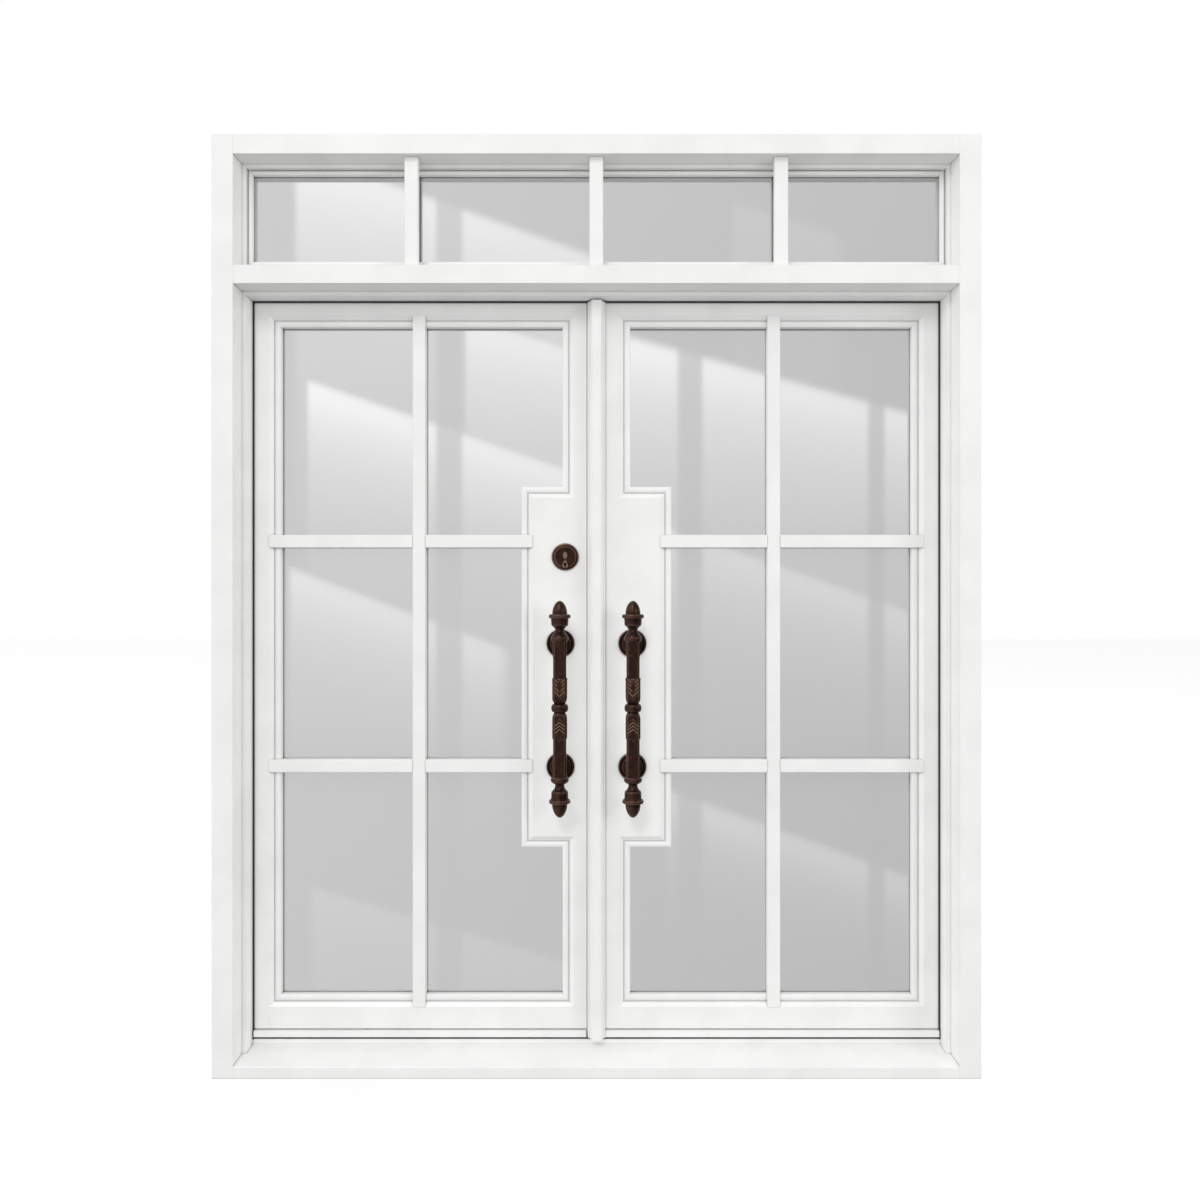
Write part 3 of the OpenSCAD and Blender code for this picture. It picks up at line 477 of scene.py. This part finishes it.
def middle_rings():
    """Height, half-width and squareness between the two turned ends.

    The bead is a superellipse of half-height 11.4 mm; from it the grip swells as a quarter sine over 17 mm;
    past the grip's ends the shaft steps in, and near the roses it steps out to the block."""
    height = np.concatenate([np.arange(-177, -122, 5.0), [-121, -116, -110, -104, -98, -92]])
    height = np.concatenate([height, np.arange(-90, -78.5, 1.0), [-78.4]])
    height = np.concatenate([height, np.arange(-78.2, 83.6, 0.7), [83.8], np.arange(86, 141, 4.5), [144]])
    height = np.concatenate([height, np.arange(147, 178, 5.0)])
    away = np.abs(height - BEAD_AT)
    swell = np.sin(np.clip((away - BEAD_HALF) / SWELL_LENGTH, 0, 1) * np.pi / 2)
    width = NECK + (GRIP - NECK) * swell
    bead = BEAD_FOOT + BEAD_RISE * (1 - np.clip(away / BEAD_HALF, 0, 1) ** BEAD_POWER) ** (1 / BEAD_POWER)
    width = np.where(away < BEAD_HALF, bead, width)
    width = np.where((height < GRIP_FOOT) | (height > GRIP_HEAD), SHAFT, width)
    width = np.where((height < BLOCK_FOOT) | (height > BLOCK_HEAD), BLOCK, width)
    return height, width, np.where(away < BEAD_HALF, 0.0, np.clip(0.35 + swell, 0, 1))


print("top end", len(top_end), "rings; foot end", len(foot_end), "rings")

# %% [markdown]
# ## Carving the grip
#
# On each face of the grip a leaf is carved. Slanting veins run in Vs that point at the bead: above it they
# frame a plain blade with a small berry over it, below it they end along a slanting border. On the front and
# back a plain pointed tip also hangs over the shoulder on to the shaft. The relief is a wave in (distance from
# the bead - slope x distance from the centre line), which gives slanting ridges, times masks. The same wave is
# kept as a tone, which the bronze reads. Real veins are a little finer and would not show from here, so they
# are drawn about 7 mm apart.


# %% Carving
UPPER_SLOPE, UPPER_PITCH = 1.1, 10.6
LOWER_SLOPE, LOWER_PITCH = 0.8, 9.2
VEIN_HIGH = 1.5
GROUND_DEEP = 1.1
BLADE_HALF, BLADE_FROM, BLADE_LENGTH = 6, 40, 38
BERRY_R, BERRY_HIGH, BERRY_AT = 2.6, 1.8, 78


def ridges(along, aside, slope, pitch):
    """Slanting ridges 0..1, one each pitch: cos(pi (along - slope aside) / pitch) squared."""
    return np.cos(np.pi * (along - slope * aside) / pitch) ** 2


def mask(value, soft=1.0):
    """0 where value is negative, 1 beyond soft, and a straight ramp between."""
    return np.clip(value / soft, 0, 1)


def carved(height, aside):
    """Relief in mm and tone, 1 on a vein and -1 in a groove, at a height and a distance from the centre line.

    Above the bead: veins from 23 mm + 1.1 aside up to 79 mm, cut away inside the blade, whose half-width is
    6 sin(pi t)^0.7 over 40..78 mm, and a berry of radius 2.6 mm at 78 mm. Below: veins between 27 mm + aside
    and the border at 57 mm + 1.27 aside, and a tip, flush with the grip, that narrows to a point at 91 mm."""
    along = np.abs(height - BEAD_AT)
    blade = BLADE_HALF * np.sin(np.clip((along - BLADE_FROM) / BLADE_LENGTH, 0, 1) * np.pi) ** 0.7
    panel = mask(along - 23 - UPPER_SLOPE * aside) * mask(79 - along)
    veined = panel * mask(aside - blade, 0.6)
    wave = ridges(along, aside, UPPER_SLOPE, UPPER_PITCH)
    berry = mask(BERRY_R - np.hypot(aside, along - BERRY_AT))
    upper = VEIN_HIGH * veined * wave - GROUND_DEEP * panel
    upper = upper + mask(blade - aside - 0.8) * (blade > 1) + BERRY_HIGH * berry
    upper_tone = np.maximum(veined * (2 * wave - 1), berry)
    veined = mask(along - 27 - aside) * mask(57 + 1.27 * aside - along)
    wave = ridges(along, aside, LOWER_SLOPE, LOWER_PITCH)
    tip = (GRIP - SHAFT) * mask(91 - 1.5 * aside - along) * (height < GRIP_FOOT)
    lower = veined * (VEIN_HIGH * wave - GROUND_DEEP) + tip
    lower_tone = veined * (2 * wave - 1)
    above = height > BEAD_AT
    return np.where(above, upper, lower), np.where(above, upper_tone, lower_tone)


print("veins", round(UPPER_PITCH / np.hypot(1, UPPER_SLOPE), 1), "mm apart above the bead")

# %% [markdown]
# ## The pull as one surface
#
# A ring is walked once round in small steps, with most of its points on the four faces, where the carving
# needs them. Its radius blends from the circle to the cut square and then takes the carving's relief.

# %% Pull shape
CARVED_FROM = -90
CARVED_ASIDE = 13.5


def squareness(height):
    """1 on the block, easing to 0 between 180 and 186 mm from the middle, where the turning starts."""
    return np.clip((186 - height) / 6, 0, 1)


def pull_shape(axis_x, axis_y, middle_z):
    """Rings (radius, angle): radius = width x (1 - squareness + squareness x cut square) + carving on its face.

    The cut square of half-width 1 has radius min(1 / max(|cos|, |sin|), (2 - cut) / (|cos| + |sin|))."""
    height, width, square = middle_rings()
    foot, top = foot_end[::-1], top_end
    height = np.concatenate([-foot[:, 1], height, top[:, 1]])
    width = np.concatenate([foot[:, 0], width, top[:, 0]])
    square = np.concatenate([squareness(foot[:, 1]), square, squareness(top[:, 1])])
    arris = np.arctan(1 - CORNER_CUT)
    face = np.arctan(np.linspace(-1, 1, 37)[:-1] * (1 - CORNER_CUT))
    corner = np.linspace(arris, np.pi / 2 - arris, 6)[:-1]
    quarter = np.concatenate([face, corner])
    angle = (quarter + np.arange(4)[:, None] * np.pi / 2).ravel()
    cos, sin = np.abs(np.cos(angle)), np.abs(np.sin(angle))
    cut_square = np.minimum(1 / np.maximum(cos, sin), (2 - CORNER_CUT) / (cos + sin))
    radius = width[:, None] * (1 - square[:, None] + square[:, None] * cut_square)
    aside = radius * np.minimum(cos, sin)
    on_face = ((height > CARVED_FROM) & (height < GRIP_HEAD))[:, None] & (aside < CARVED_ASIDE)
    # The tip hangs on the front and back only, so that the grip's shoulder stays crisp at the sides.
    on_face &= (sin > cos) | (height > GRIP_FOOT)[:, None]
    relief, tone = carved(height[:, None], aside)
    radius = radius + relief * on_face
    x = axis_x + radius * np.cos(angle) * MM
    y = axis_y + radius * np.sin(angle) * MM
    z = middle_z + np.broadcast_to(height[:, None] * MM, radius.shape)
    return *skin(np.stack([x, y, z], -1)), np.append((tone * on_face).ravel(), (0, 0))


print("a pull has", len(pull_shape(0, 0, 0)[0]), "points")

# %% [markdown]
# ## Legs and roses
#
# Two round legs carry each pull on turned roses. Both are lathe shapes whose axis points out of the leaf. The
# pulls stand 55 mm off the leaf and let diffuse rays pass, so they cast the key's small shadow but don't
# shade the paint broadly all round.


# %% Legs, roses and the finished pulls
PULL_Z = 0.975
PULL_OUT = 0.055
ROSE_R = 0.0385


def leg_shape(axis_x, axis_y, face_y, at_z):
    """A round leg from the leaf's face to the shaft, radius 9 mm, flared by 3 mm x (2t - 1)^6 at both ends."""
    t = np.linspace(0, 1, 21)
    profile = np.stack([(9 + 3 * (2 * t - 1) ** 6) * MM, t * abs(axis_y - face_y)], 1)
    profile = np.vstack([profile[:1] * (0.01, 1), profile, profile[-1:] * (0.01, 1)])
    return turned(profile, (axis_x, face_y, at_z), (0, np.sign(axis_y - face_y), 0), sides=32)


def rose_shape(centre_x, face_y, at_z, outward):
    """A turned disc: rounded rim, a sunk ring inside it, and a dished plate that rises to the leg."""
    plate = [(0.1, 0), (38.4, 0), (38.4, 2.5), (37.6, 5.5), (35.5, 7), (33, 6.6), (31.6, 4), (29.6, 3.8)]
    plate += [(28.4, 6), (22, 6.8), (14, 8.2), (9.6, 9), (0.1, 9)]
    return turned(rounded(plate) * MM, (centre_x, face_y, at_z), (0, outward, 0), sides=72)


for side in ("left", "right"):
    body = f"{side}_leaf"
    roses = []
    for face, outward in (("outer", -1), ("inner", 1)):
        low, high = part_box(f"{side}_{face}_pull")
        face_y = high.y if outward < 0 else low.y
        axis_y = face_y + outward * PULL_OUT
        axis_x = (low.x + high.x) / 2
        low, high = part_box(f"{side}_pull_roses")
        legs = [low.z + ROSE_R, high.z - ROSE_R]
        shapes = [pull_shape(axis_x, axis_y, PULL_Z)] + [leg_shape(axis_x, axis_y, face_y, z) for z in legs]
        plain = f"{side}_{face}_pull"
        pull = piece(f"{plain}_casting", shapes, bronze, body, [plain])
        pull.visible_diffuse = False
        roses += [rose_shape(axis_x, face_y, z, outward) for z in legs]
    piece(f"{side}_turned_roses", roses, roses_bronze_painted_shade, body, [f"{side}_pull_roses"])

# %% [markdown]
# ## The studio
#
# The light is soft and comes from above in front, a little from the left; a weak fill from the right opens the
# reveals that face it. The sky of the studio is a smooth ramp of brightness, brightest towards the key and
# darkest to the lower right. It has glows at both sides, which open the reveals, a faint one from below, for
# the soffits, and one behind the doors. Metal mirrors a sky that falls from left to right more steeply, as
# between a big white panel and a dark curtain. The camera itself sees plain white behind the object, and the
# glass shows an even grey, apart from the screen below.

# %% Studio
TOWARDS_KEY = Vector((-0.36, -0.50, 0.72)).normalized()
AMBIENT = 0.31
SLANT = 0.50
SIDE_GLOW = 0.90
UP_GLOW = 0.22
BACK_GLOW = 0.9
PANEL_SLANT = -0.75
PANEL_MEAN = 0.58
SEEN_THROUGH_GLASS = 0.835

world = bpy.data.worlds.new("studio")
bpy.context.scene.world = world
world.use_nodes = True
sky = world.node_tree

# Math nodes of the sky: the first keeps the larger of two values, the second is value x factor + rest.
LARGER = ("ShaderNodeMath", {"operation": "MAXIMUM"})
SCALE_ADD = ("ShaderNodeMath", {"operation": "MULTIPLY_ADD"})

direction = add(sky, "ShaderNodeTexCoord").outputs["Generated"]
facing = add(sky, "ShaderNodeVectorMath", {"operation": "DOT_PRODUCT"}, _0=direction, _1=TOWARDS_KEY)
axes = add(sky, "ShaderNodeSeparateXYZ", Vector=direction)
behind = add(sky, *LARGER, _0=axes.outputs["Y"], _1=0.0).outputs[0]
ramp = add(sky, *SCALE_ADD, _0=facing.outputs["Value"], _1=SLANT, _2=AMBIENT).outputs[0]
ramp = add(sky, *SCALE_ADD, _0=behind, _1=BACK_GLOW, _2=ramp).outputs[0]
down = add(sky, "ShaderNodeMath", {"operation": "MULTIPLY"}, _0=axes.outputs["Z"], _1=-1.0).outputs[0]
below = add(sky, *LARGER, _0=down, _1=0.0).outputs[0]
ramp = add(sky, *SCALE_ADD, _0=below, _1=UP_GLOW, _2=ramp).outputs[0]
sideways = add(sky, "ShaderNodeMath", {"operation": "POWER"}, _0=axes.outputs["X"], _1=2.0).outputs[0]
ramp = add(sky, *SCALE_ADD, _0=sideways, _1=SIDE_GLOW, _2=ramp).outputs[0]
panel = add(sky, *SCALE_ADD, _0=axes.outputs["X"], _1=PANEL_SLANT, _2=PANEL_MEAN).outputs[0]
ray = add(sky, "ShaderNodeLightPath")
mirrored = ray.outputs["Is Glossy Ray"]
through_glass = ray.outputs["Is Transmission Ray"]
seen = add(sky, "ShaderNodeMix", Factor=mirrored, A=ramp, B=panel)
seen = add(sky, "ShaderNodeMix", Factor=through_glass, A=seen.outputs[0], B=SEEN_THROUGH_GLASS)
backdrop = add(sky, "ShaderNodeMix", Factor=ray.outputs["Is Camera Ray"], A=seen.outputs[0], B=1.0)
sky.links.new(backdrop.outputs[0], sky.nodes["Background"].inputs["Strength"])
sky.nodes["Background"].inputs["Color"].default_value = (1, 1, 1, 1)
bpy.context.scene.view_settings.view_transform = "Standard"


def soft_box(name, at, aim, width, height, watts):
    """A rectangular area light at a point, turned to shine towards another. Neither eye nor glass sees it."""
    data = bpy.data.lights.new(name, "AREA")
    data.shape = "RECTANGLE"
    data.size, data.size_y, data.energy = width, height, watts
    light = bpy.data.objects.new(name, data)
    light.location = at
    light.rotation_euler = (Vector(aim) - Vector(at)).to_track_quat("-Z", "Y").to_euler()
    light.visible_camera = light.visible_transmission = False
    bpy.context.scene.collection.objects.link(light)


MID_DOORS = (0, 0, 1.3)
soft_box("key", (-3.5, -11.0, 11.6), MID_DOORS, 4.2, 4.2, 530)
soft_box("fill", (7.0, -5.0, 3.0), MID_DOORS, 3.0, 3.0, 130)
print("studio lit")

# %% [markdown]
# ## What the glass shows
#
# Behind the doors stands a glowing screen with painted light and shade: slanting patches of painted daylight,
# as through a tall window, with a sharp upper edge that fade downwards, cut by the painted upright shadows of
# the window's bars, on a ground that is brighter to the left and upwards. Only the glass can see it. Its
# brightness is worked out on a grid and stored as an attribute of the mesh.

# %% Screen
SCREEN_Y = 1.6
GLASS_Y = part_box("left_pane")[0].y


def step(value, soft):
    """0 below -soft, 1 above soft, and a smooth 3t^2 - 2t^3 between."""
    t = np.clip(value / soft * 0.5 + 0.5, 0, 1)
    return t * t * (3 - 2 * t)


# Each painted patch of daylight: left and right edge, height of its upper edge at the left, fall per metre,
# brightness, and the length over which it fades downwards.
PATCHES = [
    (-0.832, 0.000, 2.512, 0.355, 0.47, 0.34),
    (0.378, 0.672, 2.367, 0.297, 0.07, 0.30),
    (-0.800, -0.060, 1.878, 0.343, 0.53, 0.21),
    (-0.364, -0.060, 2.054, 0.300, 0.46, 0.28),
    (0.060, 0.950, 2.004, 0.273, 0.54, 0.27),
    (-0.848, -0.250, 1.359, 0.375, 0.32, 0.18),
    (0.130, 0.950, 1.499, 0.353, 0.28, 0.18),
    (-0.786, -0.060, 0.474, 0.293, 0.09, 0.30),
    (0.190, 0.950, 0.746, 0.360, 0.20, 0.11),
]
# Centre and width of each painted upright shadow of the window's bars, and how much of the painted daylight it
# takes.
PAINTED_BAR_SHADOWS = [(-0.407, 0.072), (0.259, 0.068), (0.774, 0.046)]
BAR_SHADOW = 0.8
# Heights of the painted soft level shades, which lie near the doors' top rail and level bars.
BAR_SHADES = [2.05, 1.413, 0.796]
SHADE_DEPTH, SHADE_SPREAD = 0.07, 0.035
FALL_TO_RIGHT, RISE_UPWARDS = 0.055, 0.032

across, up = np.meshgrid(np.linspace(-1.2, 1.2, 280), np.linspace(-0.3, 2.7, 320), indexing="ij")
glow = np.zeros_like(across)
for left, right, top, fall, strength, fade in PATCHES:
    below = top - fall * (across - left) - up
    patch = step(below, 0.016) * np.exp(-np.clip(below - 0.04, 0, None) / fade)
    patch = patch * step(across - left, 0.012) * step(right - across, 0.03)
    glow = np.maximum(glow, strength * (1 - 0.3 * (across - left)) * patch)
for centre, width in PAINTED_BAR_SHADOWS:
    glow = glow * (1 - BAR_SHADOW * step(width / 2 - np.abs(across - centre), 0.01))
# Painted light: the screen's ground grows brighter to the left and upwards.
base = SEEN_THROUGH_GLASS - FALL_TO_RIGHT * across + RISE_UPWARDS * (up - 1.15)
for height in BAR_SHADES:
    base = base - SHADE_DEPTH * np.exp(-np.abs(height - up) / SHADE_SPREAD)
# Towards its own edges the screen fades into the even grey round it.
edge = step(1.1 - np.abs(across), 0.1) * step(1.45 - np.abs(up - 1.2), 0.05)
brightness = SEEN_THROUGH_GLASS + edge * (base + glow - SEEN_THROUGH_GLASS)
# The pattern is laid out on the glass and then spread from the camera on to the screen behind it.
grow = (SCREEN_Y - CAMERA_AT.y) / (GLASS_Y - CAMERA_AT.y)
screen_x = CAMERA_AT.x + (across - CAMERA_AT.x) * grow
screen_z = CAMERA_AT.z + (up - CAMERA_AT.z) * grow

# %% [markdown]
# ## The screen's mesh
#
# The grid becomes a mesh of quads whose points carry the brightness, and an Emission shader reads it.

# %% Screen mesh
columns, rows = across.shape
i, j = np.meshgrid(np.arange(columns - 1), np.arange(rows - 1), indexing="ij")
corner = i * rows + j
faces = np.stack([corner, corner + rows, corner + rows + 1, corner + 1], -1).reshape(-1, 4)
screen_mesh = bpy.data.meshes.new("screen_with_painted_light")
points = np.stack([screen_x, np.full_like(screen_x, SCREEN_Y), screen_z], -1).reshape(-1, 3)
screen_mesh.from_pydata(points.tolist(), [], faces.tolist())
screen_mesh.attributes.new("brightness", "FLOAT", "POINT").data.foreach_set("value", brightness.ravel())
screen = bpy.data.objects.new("screen_with_painted_light", screen_mesh)
bpy.context.scene.collection.objects.link(screen)
screen_paint, screen_tree, _ = new_material("screen_painted_light_and_shade")
shade = add(screen_tree, "ShaderNodeAttribute", {"attribute_name": "brightness"}).outputs["Fac"]
lit = add(screen_tree, "ShaderNodeEmission", Strength=shade)
screen_tree.links.new(lit.outputs[0], screen_tree.nodes["Material Output"].inputs["Surface"])
screen_mesh.materials.append(screen_paint)
screen.visible_camera = screen.visible_diffuse = screen.visible_glossy = screen.visible_shadow = False
print("screen", columns, "x", rows, "points")

# %% [markdown]
# ## The floor
#
# A pale floor gives the doors something to stand on. It is hidden from diffuse, glossy and transmitted rays,
# so it takes shadows but throws no light back up into the sill and doesn't show in the glass.

# %% Floor
FLOOR_HALF = 30.0
floor_mesh = bpy.data.meshes.new("floor")
corners = [(x * FLOOR_HALF, y * FLOOR_HALF, 0) for x, y in ((-1, -1), (1, -1), (1, 1), (-1, 1))]
floor_mesh.from_pydata(corners, [], [(0, 1, 2, 3)])
floor = bpy.data.objects.new("floor", floor_mesh)
bpy.context.scene.collection.objects.link(floor)
floor_paint, _, floor_shader = new_material("pale_studio_floor")
floor_shader.inputs["Base Color"].default_value = (0.95, 0.95, 0.95, 1)
floor_shader.inputs["Roughness"].default_value = 0.8
floor_shader.inputs["Emission Color"].default_value = (1, 1, 1, 1)
floor_shader.inputs["Emission Strength"].default_value = 0.06
floor_mesh.materials.append(floor_paint)
floor.visible_diffuse = floor.visible_transmission = floor.visible_glossy = False
print("floor laid")
